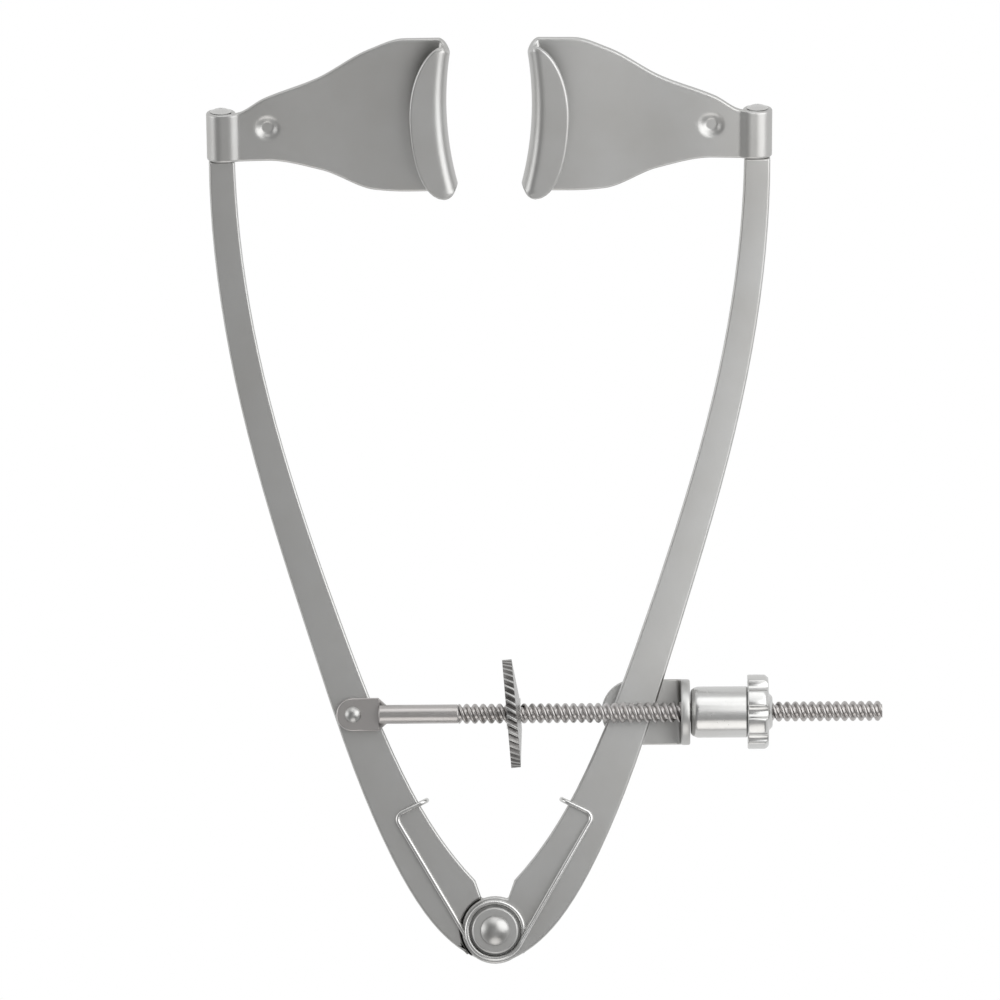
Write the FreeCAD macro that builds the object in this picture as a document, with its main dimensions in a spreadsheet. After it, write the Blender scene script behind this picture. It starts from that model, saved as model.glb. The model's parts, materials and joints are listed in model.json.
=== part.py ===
import FreeCAD, Part

import math
import os

import Sketcher

# Eye speculum with two lid blades, a spring at the pivot and a screw that sets the spread.
# The instrument lies flat in XY with its lid hooks facing +Z. The pivot axis is Z, the arms
# run towards +Y, and Z is 0 at the flat underside of the pivot. All sizes are millimetres.

Vector = FreeCAD.Vector

SIZES = [
    ("running_gap", 0.04, "radial clearance of every turning or sliding fit"),
    ("face_gap", 0.03, "clearance between faces that rub"),
    ("press_gap", 0.005, "radial clearance drawn at a driven fit"),
    # Arms
    ("arm_thickness", 2.0, "thickness of the arm bars"),
    ("lap_radius", 3.37, "round end of each arm at the pivot"),
    ("lap_side_gap", 0.10, "clearance round the halved end"),
    ("heel_angle", 57, "degrees below +X where the heel leaves the round end"),
    ("heel_low_offset", 4.55, "heel, lower point"),
    ("heel_low_height", -1.04, "heel, lower point"),
    ("heel_high_offset", 7.85, "heel, upper point"),
    ("heel_high_height", 2.96, "heel, upper point"),
    ("shoulder_offset", 1.95, "inner shoulder above the pivot"),
    ("shoulder_height", 4.96, "inner shoulder above the pivot"),
    ("throat_offset", 1.30, "where the shoulder meets the round end"),
    ("arm_offset_a", 8.25, "centre line, distance from the middle"),
    ("arm_height_a", 8.96, "centre line, distance above the pivot"),
    ("arm_width_a", 5.10, "width across the arm"),
    ("arm_offset_b", 12.03, ""),
    ("arm_height_b", 16.96, ""),
    ("arm_width_b", 4.30, ""),
    ("arm_offset_c", 16.40, ""),
    ("arm_height_c", 28.96, ""),
    ("arm_width_c", 3.60, ""),
    ("arm_offset_d", 20.30, ""),
    ("arm_height_d", 40.96, ""),
    ("arm_width_d", 3.25, ""),
    ("arm_offset_e", 23.58, ""),
    ("arm_height_e", 52.96, ""),
    ("arm_width_e", 3.00, ""),
    ("arm_offset_f", 25.78, ""),
    ("arm_height_f", 64.96, ""),
    ("arm_width_f", 2.80, ""),
    ("arm_offset_top", 26.65, ""),
    ("arm_height_top", 76.9, ""),
    ("arm_width_top", 2.60, ""),
    ("bow_start", 28.0, "height above the pivot where the arms start to rise"),
    ("bow_radius", 168, "radius of the bow, at the arm's middle"),
    ("bow_end", 80.0, "height above the pivot where the bow's profile ends"),
    ("tip_reach", 0.15, "squared tip past the centre line's last point"),
    # Lid blades
    ("sheet", 0.60, "thickness of the blade's sheet"),
    ("knuckle_radius", 1.475, "outside of the rolled knuckle"),
    ("knuckle_length", 4.9, "rolled knuckle, along the pin"),
    ("seam_width", 0.16, "slit where the roll closes on the plate"),
    ("blade_reach", 22.47, "pin axis to the fold's crest"),
    ("blade_height", 15.8, "blade across the lid"),
    ("blade_rise", 2.05, "middle of the blade above the knuckle's middle"),
    ("fold_radius", 1.35, "middle of the sheet in the fold"),
    ("fold_sweep", 33.5, "plan radius of the hollow fold line"),
    ("fold_shift", 1.35, "hollow of the fold line above the blade's middle"),
    ("lip_radius", 9.44, "plan radius of the lip's free edge"),
    ("lip_width", 3.8, "fold crest to the lip's free edge"),
    ("blade_corner", 1.6, "plan radius of the blade's corners"),
    ("dimple_reach", 4.52, "pin axis to the pressed dimple"),
    ("dimple_radius", 1.25, "dimple at the surface"),
    ("dimple_floor", 0.95, "flat floor of the dimple"),
    ("dimple_depth", 0.28, "depth of the dimple"),
    # Swivel pins
    ("pin_depth", 2.6, "pin's tail inside the arm"),
    ("pin_tail_radius", 0.60, "pin's tail inside the arm"),
    ("pin_head_radius", 1.10, "low domed head"),
    ("pin_head_height", 0.35, "low domed head"),
    # Pivot
    ("base_washer_radius", 2.6, "washer under the arms"),
    ("base_washer_thickness", 0.40, "washer under the arms"),
    ("pivot_radius", 0.90, "pivot screw shank"),
    ("bush_radius", 2.20, "bush inside the spring coil"),
    ("cap_radius", 2.32, "washer over the bush"),
    ("cap_thickness", 0.35, "washer over the bush"),
    ("pivot_head_radius", 1.46, "domed screw head"),
    ("pivot_head_height", 0.75, "domed screw head"),
    # Torsion spring
    ("wire_radius", 0.25, "spring wire"),
    ("coil_radius", 2.80, "middle of the wire in the coil"),
    ("coil_pitch", 0.53, "rise of one turn"),
    ("coil_full_turns", 2, "whole turns, the legs add the rest"),
    ("leg_offset", 9.97, "where each leg bends to the inner edge"),
    ("leg_height", 11.46, "where each leg bends to the inner edge"),
    ("hook_offset", 6.75, "end of each leg, past the inner edge"),
    ("hook_height", 13.0, "end of each leg, past the inner edge"),
    ("hook_drop", 1.3, "how far the hooked tip reaches down"),
    ("leg_bend", 0.8, "radius of the bends in the legs"),
    # Adjusting screw
    ("link_offset", 14.05, "rod and bracket rivets from the middle"),
    ("link_height", 21.64, "rod and bracket rivets above the pivot"),
    ("rod_lift", 1.6, "screw axis above the arms' top face"),
    ("rod_radius", 1.0, "thread's major radius"),
    ("shank_radius", 0.95, "plain shank"),
    ("thread_start", 10.55, "rod rivet to the start of the thread"),
    ("rod_length", 52.85, "rod rivet to the rod's end"),
    ("eye_radius", 1.65, "flat eye on the left arm"),
    ("eye_thickness", 1.2, "flat eye on the left arm"),
    ("eye_length", 2.55, "rivet to the end of the flat"),
    ("neck_length", 1.1, "sloping shoulder between the flat and the shank"),
    ("rivet_radius", 0.55, "shank of both link rivets"),
    ("rivet_head_radius", 0.85, "domed head of the rod rivet"),
    ("rivet_head_height", 0.42, "domed head of the rod rivet"),
    ("bracket_head_radius", 0.75, "domed head of the bracket rivet"),
    ("bracket_head_height", 0.36, "domed head of the bracket rivet"),
    # Swivel bracket
    ("strap_thickness", 0.90, "bracket strap"),
    ("strap_half_width", 3.27, "half the strap's width, and its round ends"),
    ("strap_reach", 5.55, "bracket rivet to the flange's outer face"),
    ("strap_bend", 0.5, "inside radius of the bend"),
    ("flange_hole_radius", 1.25, "hole that the screw passes through"),
    # Nut
    ("nut_gap", 0.06, "flange to the sleeve at rest"),
    ("sleeve_radius", 2.56, "thrust sleeve"),
    ("sleeve_nose_radius", 2.14, "front face of the thrust sleeve"),
    ("sleeve_nose_length", 0.9, "rounded nose"),
    ("sleeve_length", 5.65, "thrust sleeve"),
    ("spigot_radius", 1.70, "spigot of the toothed nut inside the sleeve"),
    ("spigot_length", 3.5, "spigot of the toothed nut inside the sleeve"),
    ("collar_radius", 3.79, "toothed collar"),
    ("collar_length", 2.1, "toothed collar"),
    ("collar_bevel", 0.35, "bevel of the collar's outer edge"),
    ("nut_cone_radius", 1.9, "small cone behind the collar"),
    ("nut_cone_length", 0.4, "small cone behind the collar"),
    ("tooth_count", 8, "teeth of the collar"),
    ("flute_radius", 0.72, "round flute between two teeth"),
    # Lock wheel
    ("wheel_place", 15.35, "rod rivet to the wheel's flat face"),
    ("wheel_radius", 5.42, "knurled lock wheel"),
    ("wheel_rim", 0.95, "thickness at the rim"),
    ("wheel_middle", 1.40, "thickness at the middle"),
    ("wheel_bush_radius", 1.55, "threaded bush in the wheel"),
    ("knurl_count", 42, "notches of the knurl"),
    ("knurl_depth", 0.30, "depth of the knurl"),
]

doc = FreeCAD.newDocument("eye_speculum")
sheet = doc.addObject("Spreadsheet::Sheet", "Sizes")
for row, (alias, number, note) in enumerate(SIZES, start=1):
    sheet.set(f"A{row}", alias)
    sheet.set(f"B{row}", str(number))
    sheet.setAlias(f"B{row}", alias)
    sheet.set(f"C{row}", note)
doc.recompute()


def size(formula):
    """The value of a formula over the sheet's aliases."""
    return float(sheet.evalExpression(formula))


def bound(formula):
    """The same formula written for another object's expression."""
    words = []
    word = ""
    for letter in formula + " ":
        if letter.isalnum() or letter == "_":
            word += letter
            continue
        words.append("Sizes." + word if word in ALIASES else word)
        words.append(letter)
        word = ""
    return "".join(words).strip()


ALIASES = {alias for alias, number, note in SIZES}

ARM_TOP = "(base_washer_thickness + arm_thickness)"
ARM_MIDDLE = "(base_washer_thickness + arm_thickness / 2)"
ROD_AXIS = "(base_washer_thickness + arm_thickness + rod_lift)"
COIL_TOP = (
    "(base_washer_thickness + arm_thickness + 2 * face_gap + 2 * wire_radius"
    " + coil_pitch * (coil_full_turns + 0.34))"
)
PIN_RADIUS = "(knuckle_radius - sheet - running_gap)"


# Helpers for the document


def bind(item, name, formula):
    item.setExpression(name, bound(formula))


def move(item, x, y, z):
    """Bind the base point of an object's placement to three formulas."""
    for letter, formula in zip("xyz", (x, y, z)):
        if formula != "0":
            bind(item, f"Placement.Base.{letter}", formula)


def cylinder(name, radius, height, x="0", y="0", z="0", turn=None):
    item = doc.addObject("Part::Cylinder", name)
    bind(item, "Radius", radius)
    bind(item, "Height", height)
    if turn:
        item.Placement = FreeCAD.Placement(Vector(0, 0, 0), turn)
    move(item, x, y, z)
    return item


def box(name, length, width, height, x="0", y="0", z="0"):
    item = doc.addObject("Part::Box", name)
    bind(item, "Length", length)
    bind(item, "Width", width)
    bind(item, "Height", height)
    move(item, x, y, z)
    return item


def joined(name, items):
    item = doc.addObject("Part::MultiFuse", name)
    item.Shapes = items
    return item


def shared(name, items):
    item = doc.addObject("Part::MultiCommon", name)
    item.Shapes = items
    return item


def cut(name, base, tool):
    item = doc.addObject("Part::Cut", name)
    item.Base = base
    item.Tool = tool
    return item


def plane(body, role):
    return [f for f in body.Origin.OriginFeatures if f.Role == role][0]


def add_sketch(body, name, role, corners):
    """A closed outline on one of the body's planes.

    Each corner is two formulas, and a third one is the radius of the arc that leads to it.
    """
    sketch = body.newObject("Sketcher::SketchObject", name)
    sketch.AttachmentSupport = [(plane(body, role), "")]
    sketch.MapMode = "FlatFace"
    points = [Vector(size(c[0]), size(c[1]), 0) for c in corners]
    ends = []
    for i, corner in enumerate(corners):
        start, end = points[i - 1], points[i]
        if len(corner) == 2:
            sketch.addGeometry(Part.LineSegment(start, end), False)
            ends.append((1, 2))
            continue
        radius = size(corner[2])
        chord = end - start
        side = Vector(chord.y, -chord.x, 0).normalize()
        reach = math.sqrt(max(radius * radius - chord.Length**2 / 4, 0))
        centre = (start + end) * 0.5 - side * math.copysign(reach, radius)
        first, last = (start, end) if radius > 0 else (end, start)
        low = math.atan2(first.y - centre.y, first.x - centre.x)
        high = math.atan2(last.y - centre.y, last.x - centre.x)
        high += math.tau if high < low else 0
        circle = Part.Circle(centre, Vector(0, 0, 1), abs(radius))
        sketch.addGeometry(Part.ArcOfCircle(circle, low, high), False)
        ends.append((1, 2) if radius > 0 else (2, 1))
    count = len(corners)
    for i in range(count):
        after = (i + 1) % count
        joint = Sketcher.Constraint("Coincident", i, ends[i][1], after, ends[after][0])
        sketch.addConstraint(joint)
    for i, corner in enumerate(corners):
        for kind, formula, value in (("X", corner[0], points[i].x), ("Y", corner[1], points[i].y)):
            limit = Sketcher.Constraint("Distance" + kind, -1, 1, i, ends[i][1], value)
            number = sketch.addConstraint(limit)
            sketch.renameConstraint(number, f"{kind.lower()}{i}")
            bind(sketch, f"Constraints.{kind.lower()}{i}", formula)
        if len(corner) == 3:
            number = sketch.addConstraint(Sketcher.Constraint("Radius", i, abs(size(corner[2]))))
            sketch.renameConstraint(number, f"r{i}")
            bind(sketch, f"Constraints.r{i}", f"abs({corner[2]})")
    return sketch


def turned(name, corners, turn=None, x="0", y="0", z="0"):
    """A body turned about its own Z from corners given as radius and height."""
    body = doc.addObject("PartDesign::Body", name)
    sketch = add_sketch(body, name + "_section", "XZ_Plane", corners)
    revolution = body.newObject("PartDesign::Revolution", name + "_turned")
    revolution.Profile = sketch
    revolution.ReferenceAxis = (sketch, ["V_Axis"])
    revolution.Angle = 360
    if turn:
        body.Placement = FreeCAD.Placement(Vector(0, 0, 0), turn)
    move(body, x, y, z)
    return body


def notched(body, name, corners, count):
    """Cut an outline right through a turned body and repeat it round the axis."""
    sketch = add_sketch(body, name + "_outline", "XY_Plane", corners)
    pocket = body.newObject("PartDesign::Pocket", name)
    pocket.Profile = sketch
    pocket.Type = 1
    pocket.Midplane = True
    pattern = body.newObject("PartDesign::PolarPattern", name + "_pattern")
    pattern.Originals = [pocket]
    pattern.Axis = (sketch, ["N_Axis"])
    pattern.Angle = 360
    bind(pattern, "Occurrences", count)
    body.Tip = pattern
    return pattern


def dome(radius, height):
    """Radius of the arc over a domed head."""
    return f"(({radius})^2 + ({height})^2) / (2 * ({height}))"


ALONG_X = FreeCAD.Rotation(Vector(0, 1, 0), 90)


# Arms


STATIONS = ["a", "b", "c", "d", "e", "f", "top"]


def arm_line():
    """Centre line of the right arm in plan."""
    points = [Vector(size("arm_offset_" + s), size("arm_height_" + s), 0) for s in STATIONS]
    line = Part.BSplineCurve()
    line.interpolate(points)
    return line, points


def arm_outline():
    """Plan of the right arm, from its round end at the pivot to just past its tip."""
    line, points = arm_line()
    outer, inner = [], []
    for station, point in zip(STATIONS, points):
        along = line.tangent(line.parameter(point))[0]
        across = Vector(along.y, -along.x, 0) * (size("arm_width_" + station) / 2)
        outer.append(point + across)
        inner.append(point - across)
    spare = along * size("arm_thickness")
    radius = size("lap_radius")
    angle = -math.radians(size("heel_angle"))
    heel = Vector(radius * math.cos(angle), radius * math.sin(angle), 0)
    low = Vector(size("heel_low_offset"), size("heel_low_height"), 0)
    high = Vector(size("heel_high_offset"), size("heel_high_height"), 0)
    shoulder = Vector(size("shoulder_offset"), size("shoulder_height"), 0)
    throat_offset = size("throat_offset")
    throat = Vector(throat_offset, math.sqrt(radius**2 - throat_offset**2), 0)
    outer_edge = Part.BSplineCurve()
    outer_edge.interpolate([heel, low, high] + outer)
    inner_edge = Part.BSplineCurve()
    inner_edge.interpolate([shoulder] + inner)
    edges = [
        outer_edge.toShape(),
        Part.LineSegment(outer[-1], outer[-1] + spare).toShape(),
        Part.LineSegment(outer[-1] + spare, inner[-1] + spare).toShape(),
        Part.LineSegment(inner[-1] + spare, inner[-1]).toShape(),
        inner_edge.toShape(),
        Part.LineSegment(shoulder, throat).toShape(),
        Part.Arc(throat, Vector(-radius, 0, 0), heel).toShape(),
    ]
    return Part.Wire(Part.__sortEdges__(edges))


def bow_curve(x, offset):
    """Side view of the arm at an offset from its middle: flat, then bowed up as an arc."""
    start, radius = size("bow_start"), size("bow_radius")
    sweep = math.asin((size("bow_end") - start) / radius)
    middle = size(ARM_MIDDLE)
    run = Part.LineSegment(Vector(x, -10, middle + offset), Vector(x, start, middle + offset))

    def at(angle):
        reach = radius - offset
        return Vector(x, start + reach * math.sin(angle), middle + radius - reach * math.cos(angle))

    return run, Part.Arc(at(0), at(sweep / 2), at(sweep))


def arm_bar(side):
    """The bar of one arm: its plan and its side view, met."""
    reach = size("arm_offset_top") * 2
    plan = Part.Face(arm_outline()).extrude(Vector(0, 0, size("bow_end") / 2))
    plan.translate(Vector(0, 0, -size("arm_thickness")))
    low = bow_curve(-reach, -size("arm_thickness") / 2)
    high = bow_curve(-reach, size("arm_thickness") / 2)
    rim = [edge.toShape() for edge in low + high]
    rim.append(Part.LineSegment(low[1].EndPoint, high[1].EndPoint).toShape())
    rim.append(Part.LineSegment(low[0].StartPoint, high[0].StartPoint).toShape())
    band = Part.Face(Part.Wire(Part.__sortEdges__(rim))).extrude(Vector(2 * reach, 0, 0))
    bar = plan.common(band).Solids[0]
    if side < 0:
        bar = bar.mirror(Vector(0, 0, 0), Vector(1, 0, 0))
    return bar


def tip_frame(side):
    """Placement at the centre of the arm's squared tip, with its Y along the swivel pin."""
    line, points = arm_line()
    along = line.tangent(line.LastParameter)[0]
    lean = math.degrees(math.atan2(along.x, along.y))
    radius = size("bow_radius")
    slope = math.asin((points[-1].y - size("bow_start")) / radius)
    tilt = math.degrees(slope)
    turn = FreeCAD.Rotation(Vector(0, 0, 1), -side * lean) * FreeCAD.Rotation(Vector(1, 0, 0), tilt)
    height = size(ARM_MIDDLE) + radius * (1 - math.cos(slope))
    end = Vector(side * points[-1].x, points[-1].y, height)
    end += turn.multVec(Vector(0, size("tip_reach"), 0))
    return FreeCAD.Placement(end, turn)


DOWN_PIN = FreeCAD.Rotation(Vector(1, 0, 0), 90)


def make_arm(label, side):
    bar = doc.addObject("Part::Feature", label + "_bar")
    bar.Shape = arm_bar(side)
    tip = tip_frame(side)
    across = 2 * size("arm_width_top")
    beyond = box(label + "_beyond_tip", "4 * arm_width_top", "3 * arm_thickness", "4 * arm_width_top")
    beyond.Placement = tip * FreeCAD.Placement(Vector(-across, 0, -across), FreeCAD.Rotation())
    pin_hole = cylinder(label + "_pin_hole", "pin_tail_radius + press_gap", "pin_depth + face_gap")
    pin_hole.Placement = tip * FreeCAD.Placement(Vector(0, 0, 0), DOWN_PIN)
    lap_floor = ARM_MIDDLE + " + face_gap / 2" if side < 0 else "-arm_thickness"
    lap_height = "2 * arm_thickness" if side < 0 else ARM_MIDDLE + " + face_gap / 2 + arm_thickness"
    lap = cylinder(label + "_lap", "lap_radius + lap_side_gap", lap_height, z=lap_floor)
    gap = "press_gap" if side < 0 else "running_gap"
    pivot_hole = cylinder(label + "_pivot_hole", "pivot_radius + " + gap, "4 * arm_thickness")
    sign = "-" if side < 0 else ""
    rivet_hole = cylinder(
        label + "_rivet_hole",
        "rivet_radius + press_gap",
        "4 * arm_thickness",
        x=sign + "link_offset",
        y="link_height",
    )
    for hole in (pivot_hole, rivet_hole):
        bind(hole, "Placement.Base.z", "-arm_thickness")
    return cut(label, bar, joined(label + "_away", [lap, pivot_hole, rivet_hole, pin_hole, beyond]))


# Lid blades


def prism(wire, low, high):
    solid = Part.Face(wire).extrude(Vector(0, 0, high - low))
    solid.translate(Vector(0, 0, low))
    return solid


def blade_outline():
    """Plan of the left blade: a neck at the knuckle that flares to the full height."""
    half = size("knuckle_length") / 2
    middle = size("blade_rise")
    top = middle + size("blade_height") / 2
    bottom = middle - size("blade_height") / 2
    reach = size("blade_reach")
    corner = size("blade_corner")
    far = reach + size("fold_radius")
    upper = [
        Vector(size("pin_head_radius"), half, 0),
        Vector(reach * 0.07, half + 0.12, 0),
        Vector(reach * 0.19, half + 1.55, 0),
        Vector(reach * 0.43, top - 3.95, 0),
        Vector(reach * 0.66, top - 1.10, 0),
        Vector(reach * 0.82, top, 0),
    ]
    lower = [
        Vector(reach * 0.82, bottom, 0),
        Vector(reach * 0.68, bottom + 0.20, 0),
        Vector(reach * 0.44, bottom + 2.35, 0),
        Vector(reach * 0.20, -half + 0.05, 0),
        Vector(0, -half, 0),
    ]
    upper_edge = Part.BSplineCurve()
    upper_edge.interpolate(upper)
    lower_edge = Part.BSplineCurve()
    lower_edge.interpolate(lower)
    bend = corner * (1 - math.sqrt(0.5))
    edges = [
        upper_edge.toShape(),
        Part.LineSegment(upper[-1], Vector(far - corner, top, 0)).toShape(),
        Part.Arc(
            Vector(far - corner, top, 0), Vector(far - bend, top - bend, 0), Vector(far, top - corner, 0)
        ).toShape(),
        Part.LineSegment(Vector(far, top - corner, 0), Vector(far, bottom + corner, 0)).toShape(),
        Part.Arc(
            Vector(far, bottom + corner, 0), Vector(far - bend, bottom + bend, 0), Vector(far - corner, bottom, 0)
        ).toShape(),
        Part.LineSegment(Vector(far - corner, bottom, 0), lower[0]).toShape(),
        lower_edge.toShape(),
        Part.LineSegment(lower[-1], Vector(0, half, 0)).toShape(),
        Part.LineSegment(Vector(0, half, 0), upper[0]).toShape(),
    ]
    return Part.Wire(Part.__sortEdges__(edges))


def folded_strip():
    """The sheet's section, flat and then folded back over itself, swept round the hollow fold line."""
    sheet_thickness = size("sheet")
    fold = size("fold_radius")
    outer = fold + sheet_thickness / 2
    inner = fold - sheet_thickness / 2
    middle = size("blade_rise + fold_shift")
    face = size("knuckle_radius")
    centre = Vector(size("blade_reach") - outer, middle, face - sheet_thickness / 2 + fold)
    back = centre.x - size("lip_width") * 1.5

    def at(radius, angle):
        angle = math.radians(angle)
        return centre + Vector(radius * math.cos(angle), 0, radius * math.sin(angle))

    low_outer = Vector(0, middle, centre.z - outer)
    low_inner = Vector(0, middle, centre.z - inner)
    high_outer = Vector(back, middle, centre.z + outer)
    high_inner = Vector(back, middle, centre.z + inner)
    edges = [
        Part.LineSegment(low_outer, at(outer, -90)).toShape(),
        Part.Arc(at(outer, -90), at(outer, 0), at(outer, 90)).toShape(),
        Part.LineSegment(at(outer, 90), high_outer).toShape(),
        Part.LineSegment(high_outer, high_inner).toShape(),
        Part.LineSegment(high_inner, at(inner, 90)).toShape(),
        Part.Arc(at(inner, 90), at(inner, 0), at(inner, -90)).toShape(),
        Part.LineSegment(at(inner, -90), low_inner).toShape(),
        Part.LineSegment(low_inner, low_outer).toShape(),
    ]
    section = Part.Face(Part.Wire(Part.__sortEdges__(edges)))
    axis = Vector(size("blade_reach") + size("fold_sweep"), middle, 0)
    section.rotate(axis, Vector(0, 0, 1), -25)
    return section.revolve(axis, Vector(0, 0, 1), 50)


def blade_shape():
    """The left blade with its knuckle's axis on Y and its lip towards +Z."""
    face = size("knuckle_radius")
    thickness = size("sheet")
    strip = folded_strip()
    outline = prism(blade_outline(), face - thickness - 1, face + 8)
    plate = strip.common(outline)
    lip_centre = size("blade_reach") - size("lip_width") + size("lip_radius")
    lip = Part.makeCylinder(size("lip_radius"), 20, Vector(lip_centre, size("blade_rise") - 0.25, face))
    room = Part.makeBox(60, 60, 20, Vector(-10, -30, face)).cut(lip)
    plate = plate.cut(room)
    half = size("knuckle_length") / 2
    roll = Part.makeCylinder(face, 2 * half, Vector(0, -half, 0), Vector(0, 1, 0))
    slit = Part.makeBox(face * 2, 4 * half, size("seam_width"))
    slit.translate(Vector(0, -2 * half, face - thickness - size("seam_width")))
    blade = roll.cut(slit).fuse(plate)
    bore = Part.makeCylinder(face - thickness, 4 * half, Vector(0, -2 * half, 0), Vector(0, 1, 0))
    blade = blade.cut(bore)
    dimple = Part.makeCone(
        size("dimple_floor"),
        size("dimple_radius"),
        size("dimple_depth"),
        Vector(size("dimple_reach"), size("blade_rise") / 2, face - size("dimple_depth")),
    )
    boss = dimple.copy()
    boss.translate(Vector(0, 0, -thickness))
    blade = blade.fuse(boss).cut(dimple).removeSplitter()
    return blade.Solids[0]


def make_blade(label, side):
    shape = blade_shape()
    if side > 0:
        shape = shape.mirror(Vector(0, 0, 0), Vector(1, 0, 0))
    blade = doc.addObject("Part::Feature", label)
    blade.Shape = shape
    lift = Vector(0, size("knuckle_length / 2 + face_gap"), 0)
    blade.Placement = tip_frame(side) * FreeCAD.Placement(lift, FreeCAD.Rotation())
    return blade


def make_swivel_pin(label, side):
    """Pin through the knuckle, its tail driven into the arm, with a low domed head."""
    top = "(knuckle_length + 2 * face_gap)"
    pin = turned(
        label,
        [
            ("0", "-pin_depth"),
            ("pin_tail_radius", "-pin_depth"),
            ("pin_tail_radius", "face_gap / 2"),
            (PIN_RADIUS, "face_gap / 2"),
            (PIN_RADIUS, top),
            ("pin_head_radius", top),
            ("0", top + " + pin_head_height", dome("pin_head_radius", "pin_head_height")),
        ],
    )
    upright = FreeCAD.Rotation(Vector(1, 0, 0), -90)
    pin.Placement = tip_frame(side) * FreeCAD.Placement(Vector(0, 0, 0), upright)
    return pin


# Pivot and torsion spring


def make_pivot():
    washer = turned(
        "pivot_base_washer",
        [
            ("pivot_radius + press_gap", "0"),
            ("base_washer_radius - base_washer_thickness / 2", "0"),
            ("base_washer_radius", "base_washer_thickness / 2"),
            ("base_washer_radius", "base_washer_thickness"),
            ("pivot_radius + press_gap", "base_washer_thickness"),
        ],
    )
    bush = turned(
        "spring_bush",
        [
            ("pivot_radius + press_gap", ARM_TOP + " + face_gap"),
            ("bush_radius", ARM_TOP + " + face_gap"),
            ("bush_radius", COIL_TOP),
            ("pivot_radius + press_gap", COIL_TOP),
        ],
    )
    cap = turned(
        "pivot_cap_washer",
        [
            ("pivot_radius + press_gap", COIL_TOP),
            ("cap_radius", COIL_TOP),
            ("cap_radius", COIL_TOP + " + cap_thickness * 0.6"),
            ("cap_radius - cap_thickness * 0.4", COIL_TOP + " + cap_thickness"),
            ("pivot_radius + press_gap", COIL_TOP + " + cap_thickness"),
        ],
    )
    seat = COIL_TOP + " + cap_thickness"
    screw = turned(
        "pivot_screw",
        [
            ("0", "0"),
            ("pivot_radius", "0"),
            ("pivot_radius", seat),
            ("pivot_head_radius", seat),
            ("pivot_head_radius", seat + " + pivot_head_height * 0.3"),
            (
                "0",
                seat + " + pivot_head_height",
                dome("pivot_head_radius", "pivot_head_height * 0.7"),
            ),
        ],
    )
    return [washer, bush, cap, screw]


def rounded_path(points, radius):
    """Straight runs through the points, with an arc at each inner corner."""
    edges = []
    start = points[0]
    for before, here, after in zip(points, points[1:], points[2:]):
        came = (before - here).normalize()
        goes = (after - here).normalize()
        half = came.getAngle(goes) / 2
        back = radius / math.tan(half)
        middle = here + (came + goes).normalize() * (radius / math.sin(half) - radius)
        edges.append(Part.LineSegment(start, here + came * back).toShape())
        edges.append(Part.Arc(here + came * back, middle, here + goes * back).toShape())
        start = here + goes * back
    edges.append(Part.LineSegment(start, points[-1]).toShape())
    return edges


def leg_angle(side):
    """Angle round the coil where a leg leaves it as a tangent, in degrees."""
    reach = math.hypot(size("leg_offset"), size("leg_height"))
    bearing = math.degrees(math.atan2(size("leg_height"), side * size("leg_offset")))
    return bearing - side * math.degrees(math.acos(size("coil_radius") / reach))


def make_spring():
    """Coil round the bush, and two legs that lie on the arms and hook over their inner edges."""
    radius = size("coil_radius")
    wire = size("wire_radius")
    low = size(ARM_TOP + " + face_gap + wire_radius")
    start = leg_angle(-1)
    sweep = (leg_angle(1) - start) % 360 + 360 * size("coil_full_turns")
    rise = size("coil_pitch") * sweep / 360
    steps = 18 * (int(size("coil_full_turns")) + 1)
    coil = []
    for k in range(steps + 1):
        turn = math.radians(start + sweep * k / steps)
        coil.append(Vector(radius * math.cos(turn), radius * math.sin(turn), low + rise * k / steps))
    leads, legs = [], []
    for side, root in ((-1, coil[0]), (1, coil[-1])):
        knee = Vector(side * size("leg_offset"), size("leg_height"), low)
        hook = Vector(side * size("hook_offset"), size("hook_height"), low)
        lead = (knee - root).normalize()
        leads.append([root + lead * (radius * share) for share in (0.2, 0.45, 0.75, 1.1)])
        tip = hook - Vector(0, 0, size("hook_drop"))
        legs.append(rounded_path([leads[-1][-1], knee, hook, tip], size("leg_bend")))
    curve = Part.BSplineCurve()
    curve.interpolate(leads[0][::-1] + coil + leads[1])
    path = Part.Wire(Part.__sortEdges__(legs[0] + [curve.toShape()] + legs[1]))
    ring = Part.makeCircle(wire, path.OrderedVertexes[0].Point, Vector(0, 0, 1))
    spring = doc.addObject("Part::Feature", "torsion_spring")
    spring.Shape = path.makePipeShell([Part.Wire(ring)], True, False)
    return spring


# Adjusting screw, its rivets and the swivel bracket


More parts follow.
